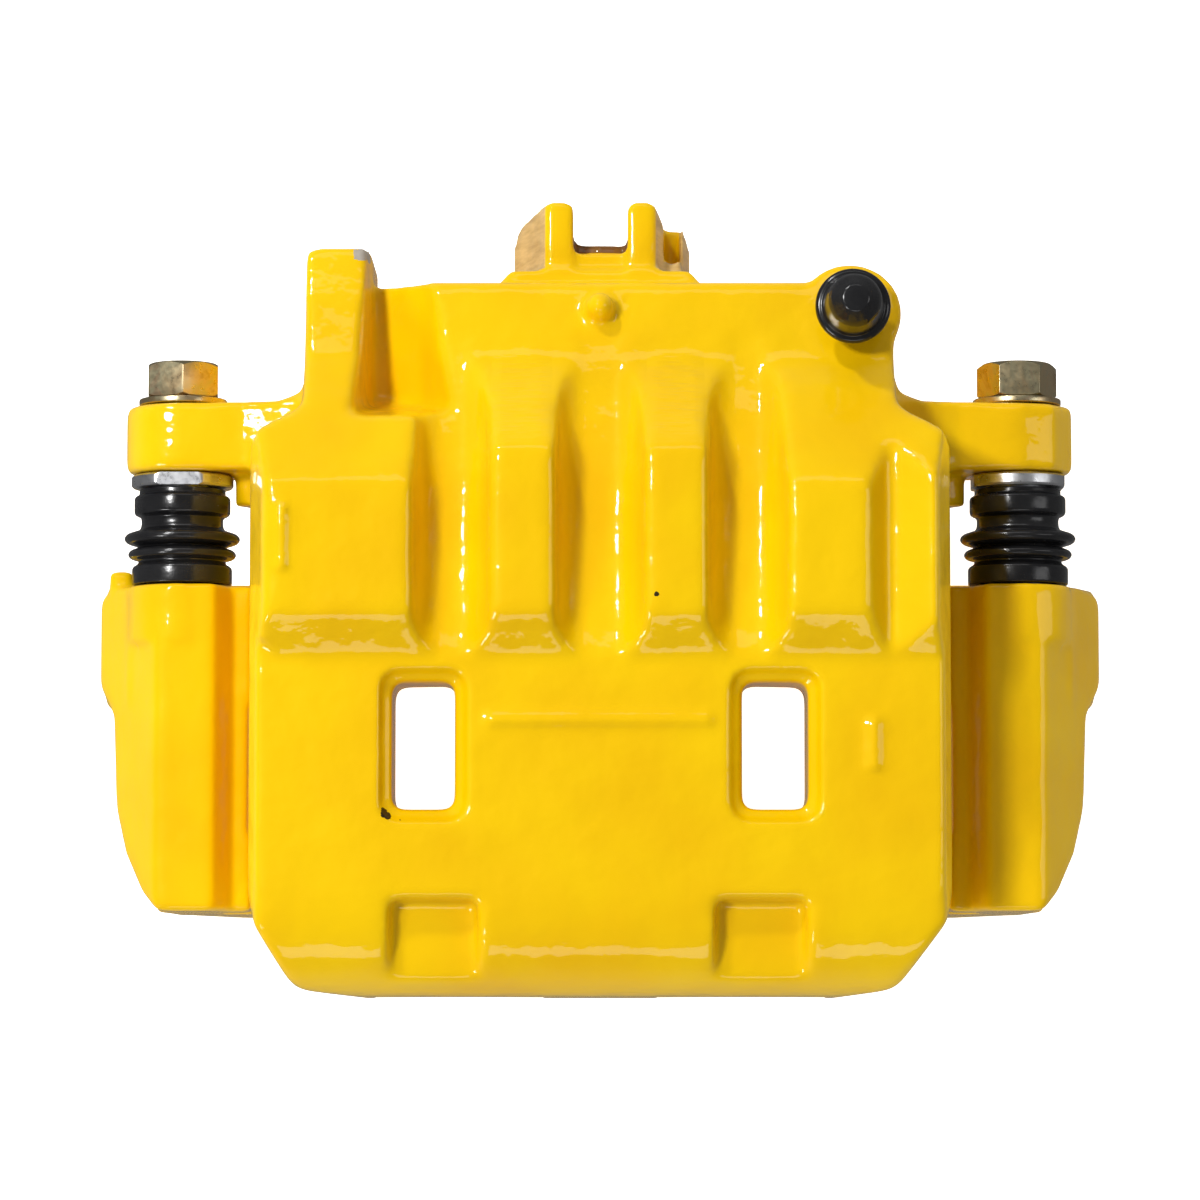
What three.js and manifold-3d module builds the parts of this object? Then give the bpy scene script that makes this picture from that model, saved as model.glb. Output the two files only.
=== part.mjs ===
// A floating twin-piston brake caliper on its carrier bracket, in millimetres.
// X runs along the disc's rim, +Y points inboard to the cylinders and +Z radially out of the disc.
// Everything is laid out about the plane of the two guide pins and lifted onto z = 0 at the end.
import * as THREE from "three";
import { mergeVertices } from "three/addons/utils/BufferGeometryUtils.js";
import Module from "manifold-3d";

const wasm = await Module();
wasm.setup();

// ---------- driving dimensions ----------
const PIN_SEGMENTS = 28; // pins and their bores share it, so their facets line up
const GAP = 0.3; // between pieces that touch in the real assembly
const FLOOR = -58; // lowest face of the bracket, below the pin plane

const DISC_AXIS_Z = -124;
const DISC_RADIUS = 140; // the disc itself is not part of the caliper
const BRIDGE_CLEARANCE = 3;
const ARM_CLEARANCE = 2.5;

const PIN_X = 84.5;
const PIN_RADIUS = 4.75;
const PIN_COLLAR_RADIUS = 6.5;
const PIN_COLLAR_END = 10.5;
const PIN_END = -40;
const PIN_BORE_RADIUS = 4.85;
const PIN_BORE_END = -52;
const PIN_HEAD_RADIUS = 10.3;
const PIN_HEAD_FLATS = 18.3;
const PIN_HEAD_THICKNESS = 2.5;

const PIN_SLEEVE = { inner: 3.6, low: -36, high: -24 };

const EAR_FRONT = 25.4;
const EAR_BACK = 39.1;
const EAR_RADIUS = 11.4;
const BOLT_HOLE_RADIUS = 4.4;
const BOLT_RADIUS = 3.9;
const BOLT_END = 13;
const BOLT_FLATS = 14;
const BOLT_HEAD_TOP = 48;
const WASHER_RADIUS = 8.9;
const WASHER_THICKNESS = 1.3;

const PISTON_X = 29;
const PISTON_Z = -17;
const PISTON_RADIUS = 22.4;
const PISTON_RIM = -5.5;
const PISTON_BACK = 37;
const PISTON_WALL = 5;
const BRIDGE_LOW = -60; // below every part of the housing
const BRIDGE_HIGH = 60; // above every part of the housing
const BORE_RADIUS = 22.5;
const BORE_END = 48;
const CYLINDER_RADIUS = 29;
const CYLINDER_FACE = -4;
const CYLINDER_BACK = 62.6;
const SEAL_GROOVE = [5.8, 9.8];
const SEAL_GROOVE_RADIUS = 25.6;
const BOOT_RECESS_RADIUS = 26.2;
const BOOT_RECESS_END = 1;

const BODY_HALF = 69; // half width of the bridge
const REAR_HALF = 58.5; // half width of the cylinder block
const BRIDGE_TOP = 34;
const PANEL_TOP = 40;
const BEVEL_START = -14; // the panels rise from the bridge over this stretch
const BEVEL_END = -5.5;
const OUTBOARD_FACE = -80;
const FINGER_FACE = -64;
const FINGER_BOTTOM = -35;
const FINGER_NOTCH_RADIUS = 17;

const FIN_X = [-58.8, -49.6];
const FIN_Y = [28, 69.6];
const FIN_TOP = 34;
const FIN_DRAFT = 3.8; // how far its inner flank leans out on the way down

const BLEEDER_X = 50;
const BLEEDER_Y = 56;
const BLEEDER_BOSS_RADIUS = 10.2;
const BLEEDER_BOSS_TOP = 26;

const PIP = { y: 56.8, radius: 2.9, top: 24 };

const HOSE_SEAT = 72.2;
const HOSE_Z = -10;
const HOSE_BORE_RADIUS = 5;
const HOSE_SEAT_RADIUS = 12;
const HOSE_LUG_END = 80;
const HOSE_LUG_TOP = 8;

const ARM_IN = 70.6; // nearest the body
const ARM_OUT = 101.5;
const ARM_FRONT = -62.9; // outboard end
const ARM_BACK = 2.6; // boot seat
const ARM_TOP = 10.5;
const ABUTMENT_X = 70;
const OUTER_LEG = [ARM_FRONT, -48];
const INNER_LEG = [-21, ARM_BACK];
const LUG_X = 75;
const LUG_Z = -45;
const LUG_SPAN = [-13, 6];
const LUG_RADIUS = 13;
const LUG_HOLE_RADIUS = 6;
const OUTER_TIE_TOP = -44;
const INNER_TIE_TOP = -48.5; // clear of the cylinders above it
const NOTCH = { depth: 6.5, low: -22, high: -9 };
const CLIP_THICKNESS = 0.6;

// ---------- materials ----------
const finish = (color, roughness, metalness) =>
  new THREE.MeshStandardMaterial({ color, roughness, metalness });
const PAINT = finish(0xf2b800, 0.25, 0);
const RUBBER = finish(0x111214, 0.45, 0);
const YELLOW_ZINC = finish(0xb08a4a, 0.35, 1);
const SILVER_ZINC = finish(0xb9bcc0, 0.35, 1);
const STEEL = finish(0x9a9da2, 0.3, 1);
const STAINLESS = finish(0xc4c6c9, 0.25, 1);

// ---------- building blocks ----------
function solid(geometry) {
  const loose = geometry.index ? geometry.toNonIndexed() : geometry;
  const bare = new THREE.BufferGeometry();
  bare.setAttribute("position", loose.getAttribute("position"));
  const merged = mergeVertices(bare, 1e-4);
  return new wasm.Manifold(
    new wasm.Mesh({
      numProp: 3,
      vertProperties: merged.attributes.position.array,
      triVerts: new Uint32Array(merged.index.array),
    }),
  );
}

// A closed outline from corners [a, b] or [a, b, corner radius].
function outline(corners) {
  const shape = new THREE.Shape();
  const at = (i) => {
    const [a, b] = corners[(i + corners.length) % corners.length];
    return new THREE.Vector2(a, b);
  };
  corners.forEach((corner, i) => {
    const radius = corner[2] ?? 0;
    const here = at(i);
    const back = at(i - 1).sub(here).normalize();
    const on = at(i + 1).sub(here).normalize();
    const reach = radius ? radius / Math.tan(Math.acos(back.dot(on)) / 2) : 0;
    const start = here.clone().addScaledVector(back, reach);
    const end = here.clone().addScaledVector(on, reach);
    if (i === 0) shape.moveTo(start.x, start.y);
    else shape.lineTo(start.x, start.y);
    if (radius) shape.quadraticCurveTo(here.x, here.y, end.x, end.y);
  });
  shape.closePath();
  return shape;
}

const ALONG = {
  // outline (x, y)
  z: new THREE.Matrix4(),
  // outline (x, z); the extrusion runs towards -y
  y: new THREE.Matrix4().makeBasis(
    new THREE.Vector3(1, 0, 0),
    new THREE.Vector3(0, 0, 1),
    new THREE.Vector3(0, -1, 0),
  ),
  // outline (y, z)
  x: new THREE.Matrix4().makeBasis(
    new THREE.Vector3(0, 1, 0),
    new THREE.Vector3(0, 0, 1),
    new THREE.Vector3(1, 0, 0),
  ),
};

// An outline extruded along one axis between two coordinates.
function prism(axis, corners, low, high, curveSegments = 4) {
  const shape = corners instanceof THREE.Shape ? corners : outline(corners);
  const geometry = new THREE.ExtrudeGeometry(shape, {
    depth: high - low,
    bevelEnabled: false,
    curveSegments,
  });
  geometry.applyMatrix4(ALONG[axis]);
  const shift = axis === "y" ? high : low;
  geometry.translate(
    axis === "x" ? shift : 0,
    axis === "y" ? shift : 0,
    axis === "z" ? shift : 0,
  );
  return solid(geometry);
}

function box([x0, x1], [y0, y1], [z0, z1]) {
  const geometry = new THREE.BoxGeometry(x1 - x0, y1 - y0, z1 - z0);
  geometry.translate((x0 + x1) / 2, (y0 + y1) / 2, (z0 + z1) / 2);
  return solid(geometry);
}

// A closed or axis-to-axis profile of [radius, height] turned about the Y or Z axis.
function turned(axis, profile, segments = 40) {
  const points = profile.map(([r, h]) => new THREE.Vector2(r, h));
  const facing = THREE.ShapeUtils.area(points) > 0 ? points : points.reverse();
  const onAxis = facing.findIndex((p) => p.x === 0);
  let ring = facing;
  if (onAxis < 0) {
    ring = [...facing, facing[0].clone()];
  } else {
    const next = facing[(onAxis + 1) % facing.length];
    const first = next.x === 0 ? onAxis + 1 : onAxis;
    ring = facing.map((_, i) => facing[(first + i) % facing.length]);
  }
  const geometry = new THREE.LatheGeometry(ring, segments);
  if (axis === "z") geometry.rotateX(Math.PI / 2);
  return geometry;
}

function rod(axis, [a, b], radius, low, high, segments = 40) {
  const geometry = turned(
    axis,
    [
      [0, low],
      [radius, low],
      [radius, high],
      [0, high],
    ],
    segments,
  );
  if (axis === "y") geometry.translate(a, 0, b);
  else geometry.translate(a, b, 0);
  return solid(geometry);
}

// A drilled passage between two points.
function drilled(from, to, radius, segments = 12) {
  const start = new THREE.Vector3(...from);
  const way = new THREE.Vector3(...to).sub(start);
  const geometry = new THREE.CylinderGeometry(radius, radius, way.length(), segments);
  geometry.translate(0, way.length() / 2, 0);
  const turn = new THREE.Quaternion();
  turn.setFromUnitVectors(new THREE.Vector3(0, 1, 0), way.clone().normalize());
  geometry.applyQuaternion(turn);
  geometry.translate(start.x, start.y, start.z);
  return solid(geometry);
}

const rectangle = ([a0, a1], [b0, b1], radius = 0) => [
  [a0, b0, radius],
  [a1, b0, radius],
  [a1, b1, radius],
  [a0, b1, radius],
];
const joined = (solids) => solids.reduce((all, one) => all.add(one));
const mirrored = (corners, side) => corners.map(([x, ...rest]) => [side * x, ...rest]);

const assembly = new THREE.Group();
assembly.name = "brake_caliper";

function place(name, made, material) {
  const { numProp, vertProperties, triVerts } = made.getMesh();
  const count = vertProperties.length / numProp;
  const points = new Float32Array(count * 3);
  for (let i = 0; i < count; i++) {
    points.set(vertProperties.subarray(i * numProp, i * numProp + 3), i * 3);
  }
  const geometry = new THREE.BufferGeometry();
  geometry.setAttribute("position", new THREE.BufferAttribute(points, 3));
  geometry.setIndex(new THREE.BufferAttribute(new Uint32Array(triVerts), 1));
  geometry.computeVertexNormals();
  const mesh = new THREE.Mesh(geometry, material);
  mesh.name = name;
  assembly.add(mesh);
}

const SIDES = [
  ["left", -1],
  ["right", 1],
];

// ---------- carrier bracket ----------
function bracketArm(side) {
  const section = mirrored(
    [
      [ARM_IN, -32],
      [ARM_IN, 3.5],
      [74, 3.5, 0.8],
      [77.2, ARM_TOP, 1.5],
      [88.6, ARM_TOP, 2.5],
      [ARM_OUT, -6, 2],
      [ARM_OUT, -32],
    ],
    side,
  );
  const plan = mirrored(
    [
      [ARM_IN, ARM_FRONT],
      [88.2, ARM_FRONT, 2.5],
      [91.6, -58.8],
      [95.3, -51],
      [97.5, -42, 4],
      [98.3, -23, 3],
      [ARM_OUT, -17, 3],
      [ARM_OUT, 0.9, 2],
      [96, ARM_BACK],
      [ARM_IN, ARM_BACK],
    ],
    side,
  );
  const arm = prism("y", section, ARM_FRONT, ARM_BACK);
  const seat = rod("y", [side * PIN_X, 0], 11, -9, ARM_BACK, 32);
  const whole = arm.add(seat).intersect(prism("z", plan, -60, 20));
  // Only the left-hand arm has a cast tab beside its boot.
  return side < 0 ? whole.add(box([-99.5, -94.7], [-4, 6.2], [-12, -3])) : whole;
}

function bracketLegs(side) {
  const innerLeg = prism(
    "y",
    mirrored(
      [
        [ABUTMENT_X, 3],
        [95, 3],
        [ARM_OUT - 1, -8],
        [ARM_OUT - 1, -22, 5],
        [88, LUG_Z, 4],
        [ABUTMENT_X, LUG_Z],
      ],
      side,
    ),
    ...INNER_LEG,
  );
  const outerLeg = prism(
    "y",
    mirrored(
      [
        [ABUTMENT_X, 3],
        [84, 3],
        [90, -8, 3],
        [88, -30, 6],
        [76, FLOOR, 4],
        [62, FLOOR],
        [62, OUTER_TIE_TOP],
        [ABUTMENT_X, -36, 2],
      ],
      side,
    ),
    ...OUTER_LEG,
  );
  const lug = rod("y", [side * LUG_X, LUG_Z], LUG_RADIUS, ...LUG_SPAN);
  return innerLeg.add(outerLeg).add(lug);
}

function bracketCuts(side) {
  const notch = rectangle([ABUTMENT_X - 10, ABUTMENT_X + NOTCH.depth], [NOTCH.low, NOTCH.high]);
  return joined([
    rod("y", [side * PIN_X, 0], PIN_BORE_RADIUS, PIN_BORE_END, ARM_BACK + 1, PIN_SEGMENTS),
    rod("y", [side * PIN_X, 0], 8, -2.4, ARM_BACK + 1, PIN_SEGMENTS),
    rod("y", [side * LUG_X, LUG_Z], LUG_HOLE_RADIUS, -30, 10, 32),
    prism("y", mirrored(notch, side), OUTER_LEG[0] - 1, OUTER_LEG[1] + 1),
    prism("y", mirrored(notch, side), INNER_LEG[0] - 1, -5),
  ]);
}

function bracket() {
  const innerTie = prism(
    "x",
    rectangle([LUG_SPAN[0], 2], [FLOOR, INNER_TIE_TOP], 2),
    -LUG_X,
    LUG_X,
  );
  const outerTie = prism("x", rectangle([-62, -50], [FLOOR, OUTER_TIE_TOP], 2), -LUG_X, LUG_X);
  const arms = joined(SIDES.map(([, side]) => bracketArm(side)));
  const discPath = rod("y", [0, DISC_AXIS_Z], DISC_RADIUS + ARM_CLEARANCE, -48, -21, 120);
  const legs = joined(SIDES.map(([, side]) => bracketLegs(side)));
  const cuts = joined(SIDES.map(([, side]) => bracketCuts(side)));
  return arms.add(legs).add(innerTie).add(outerTie).subtract(discPath).subtract(cuts);
}

place("bracket", bracket(), PAINT);

// ---------- caliper housing ----------
// Every upper surface from the outboard shoulder over the bridge and the ribs to the back.
const BODY_SIDE = [
  [OUTBOARD_FACE, FINGER_BOTTOM, 4],
  [OUTBOARD_FACE, BRIDGE_TOP, 20],
  [BEVEL_START, BRIDGE_TOP],
  [BEVEL_END, PANEL_TOP, 1],
  [26.5, PANEL_TOP, 4],
  [46, 21, 8],
  [CYLINDER_BACK, 16.5, 3],
  [CYLINDER_BACK, BRIDGE_LOW],
  [OUTBOARD_FACE + 10, BRIDGE_LOW],
];
const BODY_PLAN = [
  [-BODY_HALF, -60, 4],
  [-67.5, -66, 4],
  [-60, -78.6, 5],
  [-48, OUTBOARD_FACE],
  [48, OUTBOARD_FACE],
  [58, -78.6, 5],
  [68, -65, 4],
  [BODY_HALF, -60, 4],
  [BODY_HALF, 30, 6],
  [REAR_HALF, 36, 4],
  [REAR_HALF, CYLINDER_BACK, 9],
  [-REAR_HALF, CYLINDER_BACK, 4],
  [-REAR_HALF, 36, 4],
  [-BODY_HALF, 30, 6],
];
const BODY_FRONT = [
  [-60, BRIDGE_LOW],
  [60, BRIDGE_LOW],
  [62, FINGER_BOTTOM + 8],
  [BODY_HALF, -16, 4],
  [BODY_HALF, 27, 3],
  [65.4, PANEL_TOP, 3],
  [-65.4, PANEL_TOP, 3],
  [-BODY_HALF, 27, 3],
  [-BODY_HALF, -16, 4],
  [-62, FINGER_BOTTOM + 8],
];

function cylinderBlock() {
  const barrels = SIDES.map(([, side]) => {
    const geometry = turned("y", [
      [0, CYLINDER_FACE],
      [CYLINDER_RADIUS, CYLINDER_FACE],
      [CYLINDER_RADIUS, CYLINDER_BACK - 12],
      [CYLINDER_RADIUS - 3, CYLINDER_BACK - 4],
      [CYLINDER_RADIUS - 9, CYLINDER_BACK],
      [0, CYLINDER_BACK],
    ]);
    geometry.translate(side * PISTON_X, 0, PISTON_Z);
    return solid(geometry);
  });
  const web = box([-18, 18], [CYLINDER_FACE, CYLINDER_BACK - 8], [-38, 0]);
  const rear = box([-REAR_HALF, REAR_HALF], [CYLINDER_FACE, CYLINDER_BACK], [PISTON_Z, 45]);
  const shoulder = box([-BODY_HALF, BODY_HALF], [CYLINDER_FACE, 36], [-6, 45]);
  return joined([...barrels, web, rear, shoulder]);
}

function ear(side) {
  const rounded = [];
  const steps = side < 0 ? 14 : 5; // the right-hand ear is faceted
  for (let i = 0; i <= steps; i++) {
    const turn = Math.PI * (i / steps - 0.5);
    rounded.push([PIN_X + EAR_RADIUS * Math.cos(turn), EAR_RADIUS * Math.sin(turn)]);
  }
  const profile = [[56, -16], [72, -EAR_RADIUS], ...rounded, [72, EAR_RADIUS], [56, 15]];
  const bar = prism("y", mirrored(profile, side), EAR_FRONT, EAR_BACK);
  const knob = rod("y", [side * 69.4, 0], 4.4, 19, EAR_FRONT + 2, 20);
  const gusset = prism(
    "z",
    mirrored(
      [
        [56, EAR_BACK - 3],
        [BODY_HALF, EAR_BACK - 2],
        [64.5, EAR_BACK],
        [REAR_HALF + 1.5, 41],
        [REAR_HALF, 46],
        [50, 46],
      ],
      side,
    ),
    -12,
    12,
  );
  return joined([bar, knob, gusset]);
}

// A solid through equal closed rings of points, from the first ring to the last.
function lofted(rings) {
  const count = rings[0].length;
  const cap = THREE.ShapeUtils.triangulateShape(
    rings[0].map(([x, , z]) => new THREE.Vector2(x, z)),
    [],
  );
  const faces = [];
  cap.forEach(([a, b, c]) => faces.push(a, b, c));
  const last = (rings.length - 1) * count;
  cap.forEach(([a, b, c]) => faces.push(last + a, last + c, last + b));
  for (let ring = 0; ring < rings.length - 1; ring++) {
    for (let i = 0; i < count; i++) {
      const a = ring * count + i;
      const b = ring * count + ((i + 1) % count);
      faces.push(a, b, b + count, a, b + count, a + count);
    }
  }
  const geometry = new THREE.BufferGeometry();
  geometry.setAttribute("position", new THREE.Float32BufferAttribute(rings.flat(2), 3));
  geometry.setIndex(faces);
  return solid(geometry);
}

// A valley between two ribs: steep walls, a rounded floor that dips towards the back.
function valley([left, right]) {
  const middle = (left + right) / 2;
  const half = (right - left) / 2;
  const floor = [
    [BEVEL_START - 0.5, BRIDGE_TOP + 0.1],
    [BEVEL_END - 2, 31.2],
    [4, 29.8],
    [22, 28],
    [38, 23],
    [52, 18.5],
  ];
  const rings = floor.map(([y, z]) => {
    const side = [
      [half + 0.6, 50],
      [half, PANEL_TOP],
      [half - 1.1, z + 5],
      [half - 2.6, z + 2],
      [half - 5.2, z + 0.3],
    ];
    const wall = side.map(([x, h]) => [middle + x, y, Math.max(h, z)]);
    const other = side.map(([x, h]) => [middle - x, y, Math.max(h, z)]).reverse();
    return [...wall, ...other];
  });
  return lofted(rings);
}

function flared(corners, bottom, top, flare) {
  const geometry = new THREE.ExtrudeGeometry(outline(corners), {
    depth: top - bottom,
    bevelThickness: flare * 1.5,
    bevelSize: flare,
    bevelSegments: 1,
    curveSegments: 4,
  });
  geometry.translate(0, 0, bottom);
  return solid(geometry);
}

const WINDOWS = [
  [-40.6, -28.4],
  [27.8, 40.6],
];
const WINDOW_Y = [-43.6, -18.8];
const VALLEYS = [
  [-36.8, -21.4],
  [-9, 8.8],
  [20.8, 36.8],
];

function housingCuts() {
  const cuts = [];
  for (const [, side] of SIDES) {
    const axis = [side * PISTON_X, PISTON_Z];
    cuts.push(rod("y", axis, BORE_RADIUS, CYLINDER_FACE - 1, BORE_END));
    cuts.push(rod("y", axis, BOOT_RECESS_RADIUS, CYLINDER_FACE - 1, BOOT_RECESS_END));
    cuts.push(rod("y", axis, SEAL_GROOVE_RADIUS, ...SEAL_GROOVE));
    cuts.push(rod("y", axis, FINGER_NOTCH_RADIUS, OUTBOARD_FACE - 1, FINGER_FACE + 1));
    cuts.push(
      box(
        [axis[0] - FINGER_NOTCH_RADIUS, axis[0] + FINGER_NOTCH_RADIUS],
        [OUTBOARD_FACE - 1, FINGER_FACE + 1],
        [BRIDGE_LOW, PISTON_Z],
      ),
    );
    cuts.push(rod("y", [side * PIN_X, 0], BOLT_HOLE_RADIUS, 20, 45, 32));
  }
  for (const edges of WINDOWS) {
    cuts.push(prism("z", rectangle(edges, WINDOW_Y, 2.2), 5, BRIDGE_HIGH));
    const recess = rectangle(
      [edges[0] - 1.2, edges[1] + 1.2],
      [WINDOW_Y[0] - 1.2, WINDOW_Y[1] + 1.2],
      2.6,
    );
    cuts.push(flared(recess, BRIDGE_TOP - 0.6, BRIDGE_TOP + 8, 1.2));
  }
  // Two cast pockets whose floors run out through the outboard shoulder.
  const pocketSide = [
    [-60, 45],
    [-61.5, 29, 2],
    [-84, 26],
    [-84, 45],
  ];
  cuts.push(prism("x", pocketSide, -41, -23.8));
  cuts.push(prism("x", pocketSide, 22.4, 40.2));
  for (const edges of VALLEYS) cuts.push(valley(edges));
  // The outer panels fall away to the back sooner than the middle ribs do.
  const slope = [
    [19.5, PANEL_TOP],
    [37, 29],
    [47, 21.5],
    [70, 14],
    [70, BRIDGE_HIGH],
    [19.5, BRIDGE_HIGH],
  ];
  cuts.push(prism("x", slope, -80, VALLEYS[0][0] + 3));
  cuts.push(prism("x", slope, VALLEYS[2][1] - 3, 80));
  // A deep hollow between the fin's drafted flank and the left-hand cylinder.
  const hollowSide = [
    [33.5, 32],
    [38.5, 8, 5],
    [72, 7],
    [72, BRIDGE_HIGH],
    [33.5, BRIDGE_HIGH],
  ];
  const hollowSection = [
    [FIN_X[1], FIN_TOP],
    [FIN_X[1] + FIN_DRAFT, 7, 1.5],
    [-42, 8, 3],
    [-35.5, 13, 4],
    [-29, 24],
    [-26, BRIDGE_HIGH],
    [FIN_X[1], BRIDGE_HIGH],
  ];
  const hollow = prism("x", hollowSide, FIN_X[1] - 1, -24);
  cuts.push(hollow.intersect(prism("y", hollowSection, 30, 75)));
  // A shallow V beyond the right-hand panel, and the left-hand panel's cut corner.
  const trough = [
    [52.1, PANEL_TOP + 0.3],
    [56.6, BRIDGE_TOP],
    [67.6, PANEL_TOP + 0.3],
  ];
  cuts.push(prism("y", trough, -30, 45));
  const corner = [
    [-60, -24],
    [-61, -15],
    [-72, -6],
    [-80, -6],
    [-80, -24],
  ];
  cuts.push(prism("z", corner, BRIDGE_TOP, BRIDGE_HIGH));
  // Fluid ways: hose bore, the cross passage to both bores, and the bleeder's.
  cuts.push(rod("y", [0, HOSE_Z], HOSE_BORE_RADIUS, 50, HOSE_SEAT + 20, 32));
  cuts.push(drilled([0, 51, HOSE_Z], [0, 44, HOSE_Z], 2));
  cuts.push(drilled([-10, 44.5, HOSE_Z], [10, 44.5, HOSE_Z], 2));
  cuts.push(rod("z", [BLEEDER_X, BLEEDER_Y], 4, 6, BLEEDER_BOSS_TOP + 1, 24)); // M8
  cuts.push(drilled([BLEEDER_X, BLEEDER_Y, 7], [40, 44, -2], 1.5));
  return joined(cuts);
}

// The hose's seat between two lugs whose outer flanks are machined to a slant.
function hoseBoss() {
  const neck = prism(
    "z",
    [
      [-21, 58],
      [21, 58],
      [20.6, 63],
      [18, 66],
      [-18, 66],
      [-20.6, 63],
    ],
    -17,
    HOSE_LUG_TOP + 1,
  );
  const seat = rod("y", [0, HOSE_Z], HOSE_SEAT_RADIUS, 55, HOSE_SEAT, 40);
  const shelf = box([-6, 6], [60, HOSE_SEAT - 2.6], [-10, HOSE_LUG_TOP - 1]);
  const leftPlan = [
    [-17.6, 60],
    [-17.6, 74.6, 1.5],
    [-16, 77.4, 1.5],
    [-10.6, HOSE_LUG_END, 1],
    [-5.4, HOSE_LUG_END, 1.5],
    [-5.4, 60],
  ];
  const leftSection = [
    [-5.4, -2],
    [-5.4, HOSE_LUG_TOP],
    [-10.8, HOSE_LUG_TOP],
    [-17.6, -10],
    [-10, -10],
  ];
  const rightPlan = [
    [5.6, 60],
    [5.6, HOSE_LUG_END, 1],
    [10.8, HOSE_LUG_END, 1.5],
    [12.9, 76.4],
    [16.6, 76.4, 1],
    [18.4, 73],
    [18.4, 60],
  ];
  const rightSection = [
    [5.6, -2],
    [5.6, HOSE_LUG_TOP],
    [11, HOSE_LUG_TOP],
    [12.8, 2],
    [16.2, 2],
    [18.4, -10],
    [10, -10],
  ];
  const left = prism("z", leftPlan, -17, 20).intersect(prism("y", leftSection, 60, 90));
  const right = prism("z", rightPlan, -17, 20).intersect(prism("y", rightSection, 60, 90));
  const banjo = rod("y", [0, HOSE_Z], HOSE_SEAT_RADIUS + 0.4, HOSE_SEAT, 90, 40);
  const slot = box([12.9, 16.1], [68.4, 90], [-6, 20]);
  const lugs = left.add(right.subtract(slot)).subtract(banjo);
  return joined([neck, seat, shelf, lugs]);
}

function castMarks() {
  // Plain raised bars stand where the maker's cast marks would be.
  return joined([
    box([-22, 22], [-27.6, -25], [BRIDGE_TOP - 1, BRIDGE_TOP + 0.4]),
    box([-63, -60.6], [3, 15], [PANEL_TOP - 1, PANEL_TOP + 0.4]),
    box([52, 55], [-36, -26], [BRIDGE_TOP - 1, BRIDGE_TOP + 0.4]),
  ]);
}

function housing() {
  const bridge = box([-BODY_HALF, BODY_HALF], [OUTBOARD_FACE, 10], [FINGER_BOTTOM, 45]);
  const throat = rod(
    "y",
    [0, DISC_AXIS_Z],
    DISC_RADIUS + BRIDGE_CLEARANCE,
    FINGER_FACE,
    CYLINDER_FACE,
    120,
  );
  const massif = bridge
    .subtract(box([-80, 80], [CYLINDER_FACE, 20], [-60, -6]))
    .subtract(throat)
    .add(cylinderBlock())
    .intersect(prism("x", BODY_SIDE, -80, 80, 10))
    .intersect(prism("z", BODY_PLAN, -60, 50))
    .intersect(prism("y", BODY_FRONT, -90, 70));
  const finPlan = rectangle([FIN_X[0], FIN_X[1] + 6], FIN_Y, 2.2);
  const finSection = [
    [FIN_X[0], PISTON_Z],
    [FIN_X[0], FIN_TOP],
    [FIN_X[1], FIN_TOP],
    [FIN_X[1] + FIN_DRAFT, 7],
    [FIN_X[1] + FIN_DRAFT, PISTON_Z],
  ];
  const fin = prism("z", finPlan, PISTON_Z, FIN_TOP).intersect(prism("y", finSection, 20, 70));
  const bleeder = [BLEEDER_X, BLEEDER_Y];
  const bleederBoss = rod("z", bleeder, BLEEDER_BOSS_RADIUS, PISTON_Z, BLEEDER_BOSS_TOP);
  const pip = new THREE.CapsuleGeometry(PIP.radius, 12, 5, 16);
  pip.rotateX(Math.PI / 2);
  pip.translate(0, PIP.y, PIP.top - PIP.radius - 6);
  return joined([
    massif,
    fin,
    bleederBoss,
    solid(pip),
    hoseBoss(),
    castMarks(),
    ...SIDES.map(([, side]) => ear(side)),
  ]).subtract(housingCuts());
}

place("housing", housing(), PAINT);

// ---------- guide pins, bolts, washers, boots ----------
function hexagon(flats, turn) {
  const corner = flats / Math.sqrt(3);
  const corners = [];
  for (let i = 0; i < 6; i++) {
    const angle = turn + (i * Math.PI) / 3;
    corners.push([corner * Math.cos(angle), corner * Math.sin(angle)]);
  }
  return corners;
}

function guideBolt(turn) {
  const seat = EAR_BACK + GAP + WASHER_THICKNESS + GAP;
  const hex = prism("y", hexagon(BOLT_FLATS, turn), seat, BOLT_HEAD_TOP);
  const crown = solid(
    turned("y", [
      [0, seat],
      [7.6, seat],
      [8.4, seat + 1],
      [8.4, BOLT_HEAD_TOP - 1.2],
      [6.8, BOLT_HEAD_TOP],
      [0, BOLT_HEAD_TOP],
    ], 36),
  );
  return hex.intersect(crown).add(rod("y", [0, 0], BOLT_RADIUS, BOLT_END, seat + 1, 24));
}

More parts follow.
